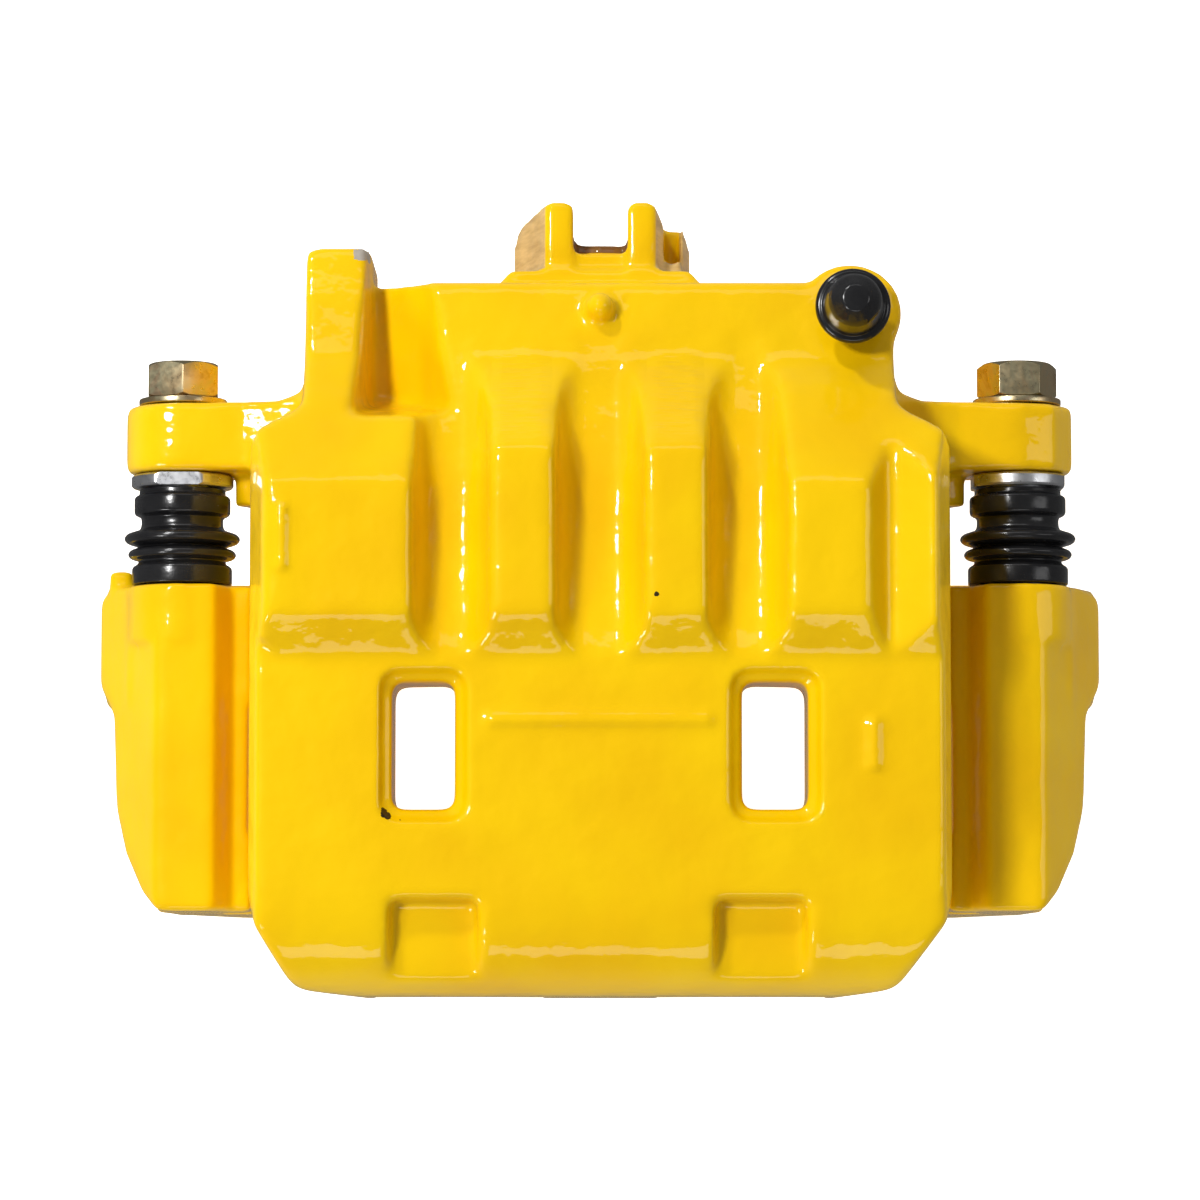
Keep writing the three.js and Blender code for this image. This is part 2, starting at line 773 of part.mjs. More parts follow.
function guidePin(side) {
  const head = EAR_FRONT - GAP;
  const turnedPin = solid(
    turned("y", [
      [0, PIN_END],
      [PIN_RADIUS - 1, PIN_END],
      [PIN_RADIUS, PIN_END + 1],
      [PIN_RADIUS, PIN_COLLAR_END - 1.5],
      [PIN_COLLAR_RADIUS, PIN_COLLAR_END],
      [PIN_COLLAR_RADIUS, head - PIN_HEAD_THICKNESS],
      [PIN_HEAD_RADIUS - 0.4, head - PIN_HEAD_THICKNESS],
      [PIN_HEAD_RADIUS, head - PIN_HEAD_THICKNESS + 0.4],
      [PIN_HEAD_RADIUS, head],
      [0, head],
    ], PIN_SEGMENTS),
  );
  // The head has two spanner flats; the right-hand pin stands a quarter turn on from the left.
  const half = PIN_HEAD_FLATS / 2;
  const across = side > 0 ? [[-half, half], [-20, 20]] : [[-20, 20], [-half, half]];
  const flats = box(across[0], [PIN_END - 1, head + 1], across[1]);
  const thread = rod("y", [0, 0], BOLT_RADIUS + GAP, BOLT_END - 0.6, head + 1, 24);
  const made = turnedPin.intersect(flats).subtract(thread);
  if (side < 0) return made;
  // The right-hand pin carries a rubber sleeve in a groove near its tip.
  const groove = solid(
    turned("y", [
      [PIN_SLEEVE.inner - GAP, PIN_SLEEVE.low - GAP],
      [PIN_RADIUS + 1, PIN_SLEEVE.low - GAP],
      [PIN_RADIUS + 1, PIN_SLEEVE.high + GAP],
      [PIN_SLEEVE.inner - GAP, PIN_SLEEVE.high + GAP],
    ], PIN_SEGMENTS),
  );
  return made.subtract(groove);
}

// Outer and inner lines of the bellows that joins the pin to the bracket.
const PIN_BOOT = [
  [7.6, -1.9],
  [7.6, 2.9],
  [10.1, 2.9],
  [10.1, 6.4],
  [9.2, 7.2],
  [8.9, 7.9],
  [10.6, 9.1],
  [8.7, 10.6],
  [11.4, 12.3],
  [8.6, 14.2],
  [8.3, 15.2],
  [8.3, 16.6],
  [9.65, 17.3],
  [9.65, 20.6],
  [8.7, 21.2],
  [8.7, 22.3],
  [6.8, 22.3],
  [6.8, 15],
  [7.2, 14],
  [9.7, 12.3],
  [7.3, 10.8],
  [8.9, 9.1],
  [7.4, 7.8],
  [6.4, 6.4],
  [6.4, -1.9],
];

const shifted = (geometry, x, y, z) => solid(geometry.translate(x, y, z));
const HEX_TURN = { left: (25.7 * Math.PI) / 180, right: 0 };

for (const [name, side] of SIDES) {
  const x = side * PIN_X;
  place("guide_pin_" + name, guidePin(side).translate([x, 0, 0]), SILVER_ZINC);
  place("guide_bolt_" + name, guideBolt(HEX_TURN[name]).translate([x, 0, 0]), YELLOW_ZINC);
  const washer = turned("y", [
    [BOLT_RADIUS + GAP, EAR_BACK + GAP],
    [WASHER_RADIUS, EAR_BACK + GAP],
    [WASHER_RADIUS, EAR_BACK + GAP + WASHER_THICKNESS],
    [BOLT_RADIUS + GAP, EAR_BACK + GAP + WASHER_THICKNESS],
  ], 28);
  place("guide_bolt_washer_" + name, shifted(washer, x, 0, 0), YELLOW_ZINC);
  place("guide_pin_boot_" + name, shifted(turned("y", PIN_BOOT, 22), x, 0, 0), RUBBER);
}
const sleeve = turned("y", [
  [PIN_SLEEVE.inner, PIN_SLEEVE.low],
  [PIN_RADIUS, PIN_SLEEVE.low],
  [PIN_RADIUS, PIN_SLEEVE.high],
  [PIN_SLEEVE.inner, PIN_SLEEVE.high],
], PIN_SEGMENTS);
place("guide_pin_sleeve", shifted(sleeve, PIN_X, 0, 0), RUBBER);

// ---------- pistons, seals, dust boots ----------
const PISTON = [
  [0, PISTON_BACK],
  [PISTON_RADIUS - 1, PISTON_BACK],
  [PISTON_RADIUS, PISTON_BACK - 1],
  [PISTON_RADIUS, -3.3],
  [PISTON_RADIUS - 1, -3.3],
  [PISTON_RADIUS - 1, -4.7],
  [PISTON_RADIUS, -4.7],
  [PISTON_RADIUS, PISTON_RIM + 0.4],
  [PISTON_RADIUS - 0.4, PISTON_RIM],
  [PISTON_RADIUS - PISTON_WALL + 0.4, PISTON_RIM],
  [PISTON_RADIUS - PISTON_WALL, PISTON_RIM + 0.4],
  [PISTON_RADIUS - PISTON_WALL, PISTON_BACK - 11],
  [PISTON_RADIUS - PISTON_WALL - 2, PISTON_BACK - 9],
  [0, PISTON_BACK - 9],
];
const SEAL = [
  [PISTON_RADIUS + 0.15, SEAL_GROOVE[0] + GAP],
  [SEAL_GROOVE_RADIUS - GAP, SEAL_GROOVE[0] + GAP],
  [SEAL_GROOVE_RADIUS - GAP, SEAL_GROOVE[1] - GAP],
  [PISTON_RADIUS + 0.15, SEAL_GROOVE[1] - GAP],
];
const DUST_BOOT = [
  [25.9, 0.7],
  [25.9, -1.6],
  [24.4, -1.6],
  [24.2, -3.2],
  [23.5, -4.6],
  [21.7, -4.4],
  [21.7, -3.6],
  [22.8, -3.4],
  [23.2, -2.4],
  [23.4, 0.7],
];
const BOOT_RING = [
  [24.7, -3.3],
  [25.9, -3.3],
  [25.9, -1.9],
  [24.7, -1.9],
];

for (const [name, side] of SIDES) {
  const at = [side * PISTON_X, 0, PISTON_Z];
  place("piston_" + name, shifted(turned("y", PISTON), ...at), STEEL);
  place("piston_seal_" + name, shifted(turned("y", SEAL, 32), ...at), RUBBER);
  place("piston_dust_boot_" + name, shifted(turned("y", DUST_BOOT, 32), ...at), RUBBER);
  place("dust_boot_ring_" + name, shifted(turned("y", BOOT_RING, 32), ...at), STAINLESS);
}

// ---------- pad clips in the bracket's abutments ----------
function padClip(side, low, high) {
  const face = ABUTMENT_X - GAP;
  const deep = ABUTMENT_X + NOTCH.depth - GAP;
  const bottom = NOTCH.low + GAP;
  const top = NOTCH.high - GAP;
  const section = [
    [face, bottom - 3],
    [face, bottom],
    [deep, bottom],
    [deep, top],
    [face, top],
    [face, top + 4],
    [face - CLIP_THICKNESS, top + 4],
    [face - CLIP_THICKNESS, top - CLIP_THICKNESS],
    [deep - CLIP_THICKNESS, top - CLIP_THICKNESS],
    [deep - CLIP_THICKNESS, bottom + CLIP_THICKNESS],
    [face - CLIP_THICKNESS, bottom + CLIP_THICKNESS],
    [face - CLIP_THICKNESS, bottom - 3],
  ];
  return prism("y", mirrored(section, side), low, high);
}

for (const [name, side] of SIDES) {
  place("pad_clip_outer_" + name, padClip(side, -62, -48.4), STAINLESS);
  place("pad_clip_inner_" + name, padClip(side, -20.6, -8), STAINLESS);
}

// ---------- bleeder ----------
function bleederScrew() {
  const stem = solid(
    turned("z", [
      [0, 6.8],
      [1.4, 6.8],
      [3.7, 9.6],
      [3.7, BLEEDER_BOSS_TOP + 0.4],
      [3.2, BLEEDER_BOSS_TOP + 0.4],
      [3.2, 33],
      [2.4, 33.4],
      [3, 34.2],
      [2.2, 35.2],
      [0, 35.2],
    ], 28),
  );
  const hex = prism("z", hexagon(8, 0), BLEEDER_BOSS_TOP + 0.3, BLEEDER_BOSS_TOP + 5);
  const bore = rod("z", [0, 0], 0.9, 12, 40, 12);
  const port = drilled([-6, 0, 12.5], [6, 0, 12.5], 0.8, 10);
  return stem.add(hex).subtract(bore).subtract(port);
}

const BLEEDER_CAP = [
  [7.4, BLEEDER_BOSS_TOP + GAP],
  [7.5, BLEEDER_BOSS_TOP + 1.2],
  [7.1, BLEEDER_BOSS_TOP + 2],
  [6.1, BLEEDER_BOSS_TOP + 2.2],
  [5.2, BLEEDER_BOSS_TOP + 9.2],
  [4.6, BLEEDER_BOSS_TOP + 10.4],
  [2.5, BLEEDER_BOSS_TOP + 12.8],
  [0, BLEEDER_BOSS_TOP + 13],
  [0, BLEEDER_BOSS_TOP + 11],
  [3.6, BLEEDER_BOSS_TOP + 9.6],
  [3.9, BLEEDER_BOSS_TOP + 5.4],
  [4.95, BLEEDER_BOSS_TOP + 5.3],
  [5.1, BLEEDER_BOSS_TOP + GAP],
];

place("bleeder_screw", bleederScrew().translate([BLEEDER_X, BLEEDER_Y, 0]), YELLOW_ZINC);
const cap = turned("z", BLEEDER_CAP, 22);
place("bleeder_cap", shifted(cap, BLEEDER_X, BLEEDER_Y, 0), RUBBER);

assembly.position.z = -FLOOR;
export default assembly;
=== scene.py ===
"""Looks of the floating brake caliper: gloss yellow castings, plated pins, black rubber."""

import math

import bmesh
import bpy
from mathutils import Matrix, Vector


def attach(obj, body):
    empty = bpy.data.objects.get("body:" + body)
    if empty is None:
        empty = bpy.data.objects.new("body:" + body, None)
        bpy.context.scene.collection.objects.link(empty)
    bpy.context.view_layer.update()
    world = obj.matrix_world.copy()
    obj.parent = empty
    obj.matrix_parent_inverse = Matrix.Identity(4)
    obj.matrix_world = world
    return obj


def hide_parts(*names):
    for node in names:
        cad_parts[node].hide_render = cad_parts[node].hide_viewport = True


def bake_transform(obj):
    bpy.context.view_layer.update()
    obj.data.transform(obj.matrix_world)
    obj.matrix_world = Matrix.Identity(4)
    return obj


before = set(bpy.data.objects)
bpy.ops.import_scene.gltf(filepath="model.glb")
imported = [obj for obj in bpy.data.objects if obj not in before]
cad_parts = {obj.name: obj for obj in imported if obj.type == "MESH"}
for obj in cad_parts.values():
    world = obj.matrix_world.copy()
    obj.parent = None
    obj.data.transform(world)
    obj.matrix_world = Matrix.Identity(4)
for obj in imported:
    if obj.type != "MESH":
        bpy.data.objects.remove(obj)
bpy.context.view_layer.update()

# ---------- dimensions, in millimetres about the guide pins' plane ----------
LIFT = 58  # height of the guide pins' plane above the floor
PIN_X = 84.5
PISTON_X, PISTON_Z = 29, -17
BLEEDER_X, BLEEDER_Y = 50, 56
BOSS_TOP = 26  # what the bleeder's hex and cap are placed for; the boss itself ends lower
KNUCKLE_X, KNUCKLE_Z = 75, -45
HOSE_Z = -10
EAR_FRONT, EAR_BACK = 25.4, 39.1
GAP = 0.3
WASHER = 1.3
VOXEL = 0.8
HOUSING_PASSES, HOUSING_SOFT_PASSES, BRACKET_PASSES = 7, 16, 9
SIDES = {"left": -1, "right": 1}


def at(x, y, z):
    """A point in the CAD's frame, in metres, from millimetres about the pins' plane."""
    return Vector((x, y, z + LIFT)) / 1000


# ---------- meshes ----------
def new_object(name, mesh, material=None):
    obj = bpy.data.objects.new(name, mesh)
    bpy.context.scene.collection.objects.link(obj)
    if material:
        mesh.materials.clear()
        mesh.materials.append(material)
    return obj


def rounded(corners, steps=5):
    """A profile [(radius, height)] from corners (r, h) or (r, h, rounding)."""
    points = []
    count = len(corners)
    for i, corner in enumerate(corners):
        here = Vector(corner[:2])
        turn = corner[2] if len(corner) > 2 else 0
        if not turn:
            points.append(tuple(here))
            continue
        back = Vector(corners[i - 1][:2]) - here
        on = Vector(corners[(i + 1) % count][:2]) - here
        reach = min(turn, 0.49 * back.length, 0.49 * on.length)
        start = here + back.normalized() * reach
        end = here + on.normalized() * reach
        for k in range(steps + 1):
            t = k / steps
            points.append(tuple(start * (1 - t) ** 2 + here * 2 * t * (1 - t) + end * t * t))
    return points


def turned(name, corners, centre, axis="Y", segments=96, steps=5):
    """A closed profile turned about an axis through centre, all in millimetres."""
    profile = rounded(corners, steps)
    bm = bmesh.new()
    cx, cy, cz = centre
    rings = []
    for r, h in profile:
        ring = []
        for k in range(segments if r > 1e-6 else 1):
            a = 2 * math.pi * k / segments
            u, v = r * math.cos(a), r * math.sin(a)
            if axis == "Y":
                ring.append(bm.verts.new(at(cx + u, cy + h, cz + v)))
            else:
                ring.append(bm.verts.new(at(cx + u, cy + v, cz + h)))
        rings.append(ring)
    for i in range(len(rings)):
        a, b = rings[i - 1], rings[i]
        if len(a) == 1 and len(b) == 1:
            continue
        for k in range(segments):
            n = (k + 1) % segments
            quad = [a[k % len(a)], a[n % len(a)], b[n % len(b)], b[k % len(b)]]
            bm.faces.new(list(dict.fromkeys(quad)))
    bmesh.ops.recalc_face_normals(bm, faces=bm.faces)
    mesh = bpy.data.meshes.new(name)
    bm.to_mesh(mesh)
    bm.free()
    return smooth(new_object(name, mesh))


def smooth(obj, angle=32):
    obj.data.shade_smooth()
    obj.data.set_sharp_from_angle(angle=math.radians(angle))
    return obj


def extruded(name, outline, plane, low, high):
    """An outline in one plane pushed along the third axis, in millimetres."""
    bm = bmesh.new()

    def point(a, b, c):
        if plane == "XZ":
            return at(a, c, b)
        if plane == "YZ":
            return at(c, a, b)
        return at(a, b, c)

    base = bm.faces.new([bm.verts.new(point(a, b, low)) for a, b in outline])
    top = bmesh.ops.extrude_face_region(bm, geom=[base])
    moved = [v for v in top["geom"] if isinstance(v, bmesh.types.BMVert)]
    way = point(0, 0, high) - point(0, 0, low)
    bmesh.ops.translate(bm, verts=moved, vec=way)
    bmesh.ops.recalc_face_normals(bm, faces=bm.faces)
    mesh = bpy.data.meshes.new(name)
    bm.to_mesh(mesh)
    bm.free()
    return new_object(name, mesh)


def block(name, xs, ys, zs):
    outline = [(xs[0], ys[0]), (xs[1], ys[0]), (xs[1], ys[1]), (xs[0], ys[1])]
    return extruded(name, outline, "XY", *zs)


def baked(obj):
    """obj with its modifiers applied."""
    graph = bpy.context.evaluated_depsgraph_get()
    mesh = bpy.data.meshes.new_from_object(obj.evaluated_get(graph))
    obj.modifiers.clear()
    old = obj.data
    obj.data = mesh
    mesh.name = old.name
    bpy.data.meshes.remove(old)
    return obj


def boolean(obj, tools, operation="DIFFERENCE"):
    for tool in tools:
        cut = obj.modifiers.new("cut", "BOOLEAN")
        cut.operation = operation
        cut.solver = "MANIFOLD"
        cut.object = tool
        baked(obj)
        bpy.data.objects.remove(tool)
    return obj


def casting(name, node, passes, soft=None, soft_passes=0):
    """The node's solid with the soft edges of a painted casting.

    soft(x, y, z) in millimetres about the pins' plane says, from 0 to 1, how much more a
    place is eased over soft_passes.
    """
    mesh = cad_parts[node].data.copy()
    mesh.name = name
    obj = new_object(name, mesh)
    weld = obj.modifiers.new("weld", "WELD")
    weld.merge_threshold = 1e-6
    shell = obj.modifiers.new("shell", "REMESH")
    shell.mode = "VOXEL"
    shell.voxel_size = VOXEL / 1000
    ease = obj.modifiers.new("ease", "SMOOTH")
    ease.factor = 0.5
    ease.iterations = passes
    baked(obj)
    if soft:
        group = obj.vertex_groups.new(name="soft")
        levels = {}
        for vertex in obj.data.vertices:
            x, y, z = vertex.co * 1000
            level = round(soft(x, y, z - LIFT) * 10)
            if level:
                levels.setdefault(level, []).append(vertex.index)
        for level, found in levels.items():
            group.add(found, level / 10, "REPLACE")
        more = obj.modifiers.new("more", "SMOOTH")
        more.factor = 0.5
        more.iterations = soft_passes
        more.vertex_group = "soft"
        baked(obj)
        obj.vertex_groups.clear()
    return obj


# ---------- node helpers for the finishes ----------
class Finish:
    """A node material with one Principled shader and object-space textures in metres."""

    def __init__(self, name, color, roughness, metallic=0.0, coat=0.0, coat_roughness=0.03):
        self.material = bpy.data.materials.new(name)
        self.material.use_nodes = True
        self.tree = self.material.node_tree
        self.shader = self.tree.nodes["Principled BSDF"]
        self.shader.inputs["Base Color"].default_value = (*color, 1)
        self.shader.inputs["Roughness"].default_value = roughness
        self.shader.inputs["Metallic"].default_value = metallic
        self.shader.inputs["Coat Weight"].default_value = coat
        self.shader.inputs["Coat Roughness"].default_value = coat_roughness
        self.place = self.tree.nodes.new("ShaderNodeTexCoord").outputs["Object"]
        self.height = None

    def link(self, a, b):
        self.tree.links.new(a, b)

    def noise(self, scale, detail=2.0, roughness=0.5, distortion=0.0, stretch=None):
        node = self.tree.nodes.new("ShaderNodeTexNoise")
        node.inputs["Scale"].default_value = scale
        node.inputs["Detail"].default_value = detail
        node.inputs["Roughness"].default_value = roughness
        node.inputs["Distortion"].default_value = distortion
        source = self.place
        if stretch:
            mapping = self.tree.nodes.new("ShaderNodeMapping")
            mapping.inputs["Scale"].default_value = stretch
            self.link(self.place, mapping.inputs["Vector"])
            source = mapping.outputs["Vector"]
        self.link(source, node.inputs["Vector"])
        return node.outputs["Fac"]

    def ramp(self, value, stops):
        node = self.tree.nodes.new("ShaderNodeValToRGB")
        ramp = node.color_ramp
        while len(ramp.elements) < len(stops):
            ramp.elements.new(0.5)
        for element, (position, color) in zip(ramp.elements, stops):
            element.position = position
            element.color = (*color, 1)
        self.link(value, node.inputs["Fac"])
        return node.outputs["Color"]

    def span(self, value, low, high, out_low, out_high):
        node = self.tree.nodes.new("ShaderNodeMapRange")
        limits = {"From Min": low, "From Max": high, "To Min": out_low, "To Max": out_high}
        for key, number in limits.items():
            node.inputs[key].default_value = number
        self.link(value, node.inputs["Value"])
        return node.outputs["Result"]

    def math(self, operation, a, b):
        node = self.tree.nodes.new("ShaderNodeMath")
        node.operation = operation
        for socket, value in zip(node.inputs, (a, b)):
            if isinstance(value, (int, float)):
                socket.default_value = value
            else:
                self.link(value, socket)
        return node.outputs["Value"]

    def mix(self, factor, a, b):
        node = self.tree.nodes.new("ShaderNodeMix")
        node.data_type = "RGBA"
        self.link(factor, node.inputs["Factor"])
        for key, value in (("A", a), ("B", b)):
            socket = [s for s in node.inputs if s.name == key and s.type == "RGBA"][0]
            if isinstance(value, tuple):
                socket.default_value = (*value, 1)
            else:
                self.link(value, socket)
        return [s for s in node.outputs if s.type == "RGBA"][0]

    def near(self, x, y, z, inner, outer):
        """1 within inner millimetres of a point, 0 beyond outer."""
        node = self.tree.nodes.new("ShaderNodeVectorMath")
        node.operation = "DISTANCE"
        node.inputs[1].default_value = at(x, y, z)
        self.link(self.place, node.inputs[0])
        return self.span(node.outputs["Value"], inner / 1000, outer / 1000, 1.0, 0.0)

    def bump(self, value, distance_mm):
        node = self.tree.nodes.new("ShaderNodeBump")
        node.inputs["Strength"].default_value = 1.0
        node.inputs["Distance"].default_value = distance_mm / 1000
        self.link(value, node.inputs["Height"])
        if self.height:
            self.link(self.height, node.inputs["Normal"])
        self.height = node.outputs["Normal"]
        self.link(self.height, self.shader.inputs["Normal"])
        self.link(self.height, self.shader.inputs["Coat Normal"])

    def color(self, value):
        self.link(value, self.shader.inputs["Base Color"])

    def rough(self, value):
        self.link(value, self.shader.inputs["Roughness"])


YELLOW = (0.90, 0.565, 0.0005)
AMBER = (0.85, 0.485, 0.0005)
BARE_IRON = (0.40, 0.36, 0.31)
MACHINED_AND_SHADE_TAN = (0.72, 0.50, 0.20)
RUST = (0.16, 0.07, 0.02)
DARK = (0.02, 0.012, 0.006)


def inside(finish, low, high, soft):
    """1 inside a box in millimetres about the pins' plane, fading out over soft."""
    split = finish.tree.nodes.new("ShaderNodeSeparateXYZ")
    finish.link(finish.place, split.inputs["Vector"])
    corner_low, corner_high = at(*low), at(*high)
    mask = None
    for i in range(3):
        edge = soft / 1000
        rise = finish.span(split.outputs[i], corner_low[i] - edge, corner_low[i], 0.0, 1.0)
        fall = finish.span(split.outputs[i], corner_high[i], corner_high[i] + edge, 1.0, 0.0)
        band = finish.math("MULTIPLY", rise, fall)
        mask = band if mask is None else finish.math("MULTIPLY", mask, band)
    return mask


def largest(finish, masks):
    total = masks[0]
    for mask in masks[1:]:
        total = finish.math("MAXIMUM", total, mask)
    return total


def paint_finish(name):
    paint = Finish(name, YELLOW, 0.4, coat=0.8, coat_roughness=0.04)
    paint.shader.inputs["Coat IOR"].default_value = 1.42
    paint.shader.inputs["Specular IOR Level"].default_value = 0.18
    paint.shader.inputs["Specular Tint"].default_value = (1, 0.7, 0.15, 1)
    tone = paint.noise(26, 3, 0.55)
    color = paint.ramp(tone, [(0.28, AMBER), (0.6, YELLOW)])
    speck = paint.noise(900, 3, 0.65)
    # The machined flanks of the hose lugs, thinly covered; the strip on the right lug's narrow side
    # also gets their brown-tan, as painted shade.
    machined_flanks_and_shade = largest(
        paint,
        [
            inside(paint, (-18.2, 66.6, -10.4), (-11.2, 79.4, 8.4), 0.2),
            # Painted shade: the right lug's narrow side (x 11.4 to 12.8) lies in shade and gets the
            # flanks' brown-tan.
            inside(paint, (11.4, 66.6, -5), (12.8, 79, 7.6), 0.2),
            inside(paint, (16.3, 66.6, -10.4), (19, 78.2, 2.4), 0.2),
            inside(paint, (11.4, 66.6, -10.4), (19, 68.6, 7.6), 0.3),
        ],
    )
    brushed = paint.noise(700, 3, 0.6, stretch=(0.2, 1, 0.2))
    machined_and_shade_tan = paint.ramp(brushed, [(0.35, (0.54, 0.35, 0.12)), (0.65, MACHINED_AND_SHADE_TAN)])
    color = paint.mix(machined_flanks_and_shade, color, machined_and_shade_tan)
    # Brown where the seat's edge has been faced.
    crescent = inside(paint, (-5.4, 70.6, -0.5), (5.6, 73.6, 3), 0.3)
    color = paint.mix(crescent, color, RUST)
    # Paint rubbed off the fin's back corner.
    rub = paint.math("MULTIPLY", inside(paint, (-49, 67.4, 10), (-44, 69.9, 23), 1.0), speck)
    rub = paint.math("GREATER_THAN", rub, 0.34)
    color = paint.mix(rub, color, BARE_IRON)
    # Chips down to dark iron at a window's corner and on a rib.
    spots = ((-41.3, -44.2, 33.6, 2.2), (-38.6, -45.2, 33.5, 1.2), (11.0, -2.2, 39.6, 0.9))
    chips = largest(paint, [paint.near(x, y, z, r * 0.4, r) for x, y, z, r in spots])
    chips = paint.math("GREATER_THAN", paint.math("MULTIPLY", chips, speck), 0.3)
    paint.color(paint.mix(chips, color, DARK))
    # Orange peel over the grain of the casting, and ripples across the ribs' back slopes.
    paint.bump(paint.noise(38, 2, 0.45), 0.8)
    paint.bump(paint.noise(120, 2, 0.4), 0.4)
    paint.bump(paint.noise(300, 2, 0.5), 0.1)
    paint.bump(paint.noise(1300, 2, 0.5), 0.005)
    ripples = paint.noise(620, 2, 0.5, stretch=(0.22, 1, 0.5))
    slopes = largest(
        paint,
        [
            inside(paint, (-19.5, 30, 22), (-11.5, 47, 39.5), 2),
            inside(paint, (11.3, 30, 22), (18.7, 47, 39.5), 2),
        ],
    )
    paint.bump(paint.math("MULTIPLY", ripples, slopes), 0.4)
    return paint.material


def rubber_finish(name, roughness=0.3):
    rubber = Finish(name, (0.009, 0.009, 0.01), roughness)
    bloom = rubber.noise(90, 4, 0.6)
    rubber.color(rubber.ramp(bloom, [(0.35, (0.006, 0.006, 0.007)), (0.7, (0.016, 0.016, 0.017))]))
    wear = rubber.noise(260, 4, 0.6)
    rubber.rough(rubber.span(wear, 0.3, 0.7, roughness * 0.75, roughness * 1.4))
    rubber.bump(rubber.noise(300, 3, 0.6), 0.06)
    rubber.bump(rubber.noise(1100, 3, 0.6), 0.015)
    return rubber.material


def zinc_finish(name, colors, roughness):
    zinc = Finish(name, colors[0], roughness, metallic=1.0)
    patches = zinc.noise(130, 4, 0.6, 0.8)
    stops = [(0.28 + 0.44 * i / (len(colors) - 1), c) for i, c in enumerate(colors)]
    zinc.color(zinc.ramp(patches, stops))
    grain = zinc.noise(600, 4, 0.7)
    zinc.rough(zinc.span(grain, 0.3, 0.7, roughness * 0.8, roughness * 1.35))
    zinc.bump(zinc.noise(1500, 3, 0.6), 0.008)
    return zinc.material


PAINT = paint_finish("cast_paint_gloss")
RUBBER = rubber_finish("bellows_rubber", 0.2)
CAP_RUBBER = rubber_finish("cap_rubber", 0.18)
GOLD_ZINC = zinc_finish(
    "yellow_zinc_plate",
    [(0.44, 0.29, 0.14), (0.66, 0.50, 0.28), (0.56, 0.50, 0.31), (0.66, 0.42, 0.25)],
    0.3,
)
SILVER_ZINC = zinc_finish(
    "clear_zinc_plate",
    [(0.50, 0.51, 0.53), (0.68, 0.69, 0.71), (0.58, 0.59, 0.62)],
    0.3,
)
PISTON_STEEL = zinc_finish("ground_piston_steel", [(0.5, 0.5, 0.51), (0.6, 0.6, 0.61)], 0.24)
STAINLESS = zinc_finish("stainless_clip", [(0.6, 0.6, 0.6), (0.7, 0.7, 0.69)], 0.28)


def finish(obj, material, body=None, stands_for=(), slot=None):
    obj.data.materials.clear()
    obj.data.materials.append(material)
    if body:
        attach(obj, body)
    if stands_for:
        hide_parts(*stands_for)
    return obj


# ---------- housing ----------
def fade(value, low, high):
    """0 below low, 1 above high."""
    t = max(0.0, min(1.0, (value - low) / (high - low)))
    return t * t * (3 - 2 * t)


def housing_softness(x, y, z):
    """The cylinder block's top, the outboard shoulder and the ears run together softly."""
    back = fade(y, -18, -10) * fade(-y, -60, -55) * fade(z, 8, 16) * fade(-abs(x), -66, -58)
    front = fade(-y, 52, 60) * fade(z, -20, -8)
    ears = fade(abs(x), 74, 80)
    return max(back, front, ears * 0.8)


# Plain raised bars stand where a maker's cast marks would be: low x and y, high x and y.
BARS = ((-21.5, -27, 21.5, -25.6), (-62.5, 3, -61.3, 15), (52.8, -35.6, 54.2, -26.4))
BAR_HEIGHT = 0.5
BAR_SOFT = 0.8


def bar_level(x, y):
    """1 on a bar, 0 beyond its soft edge."""
    level = 0.0
    for x_low, y_low, x_high, y_high in BARS:
        along = fade(x, x_low - BAR_SOFT, x_low) * fade(-x, -x_high - BAR_SOFT, -x_high)
        across = fade(y, y_low - BAR_SOFT, y_low) * fade(-y, -y_high - BAR_SOFT, -y_high)
        level = max(level, along * across)
    return level


def raise_bars(obj):
    """All are found before any is moved, because a move makes every normal stale."""
    raised = []
    for vertex in obj.data.vertices:
        level = bar_level(vertex.co.x * 1000, vertex.co.y * 1000)
        if level > 0 and vertex.normal.z > 0.5:
            raised.append((vertex, level))
    for vertex, level in raised:
        vertex.co.z += level * BAR_HEIGHT / 1000


def housing():
    obj = casting(
        "housing_casting",
        "housing",
        HOUSING_PASSES,
        housing_softness,
        HOUSING_SOFT_PASSES,
    )
    raise_bars(obj)
    tools = []
    for side in SIDES.values():
        bore = [
            (0, -9),
            (26.2, -9),
            (26.2, 1),
            (22.5, 1),
            (22.5, 5.8),
            (25.6, 5.8),
            (25.6, 9.8),
            (22.5, 9.8),
            (22.5, 47),
            (21.5, 48.2),
            (0, 48.2),
        ]
        tools.append(turned("bore", bore, (side * PISTON_X, 0, PISTON_Z), steps=1, segments=128))
        hole = [(0, EAR_FRONT - 5), (4.4, EAR_FRONT - 5), (4.4, EAR_BACK + 5), (0, EAR_BACK + 5)]
        tools.append(turned("hole", hole, (side * PIN_X, 0, 0), segments=48))
    hose = [(0, 50), (5, 50), (5, 71.6), (5.8, 72.4), (5.8, 92), (0, 92)]
    tools.append(turned("hose", hose, (0, 0, HOSE_Z), segments=64))
    bleed = [(0, 8), (4, 8), (4, 32), (0, 32)]
    tools.append(turned("bleed", bleed, (BLEEDER_X, BLEEDER_Y, 0), "Z", 48))
    boolean(obj, tools)
    smooth(obj, 50)
    finish(obj, PAINT, "housing_body", ["housing"], "cast_paint")


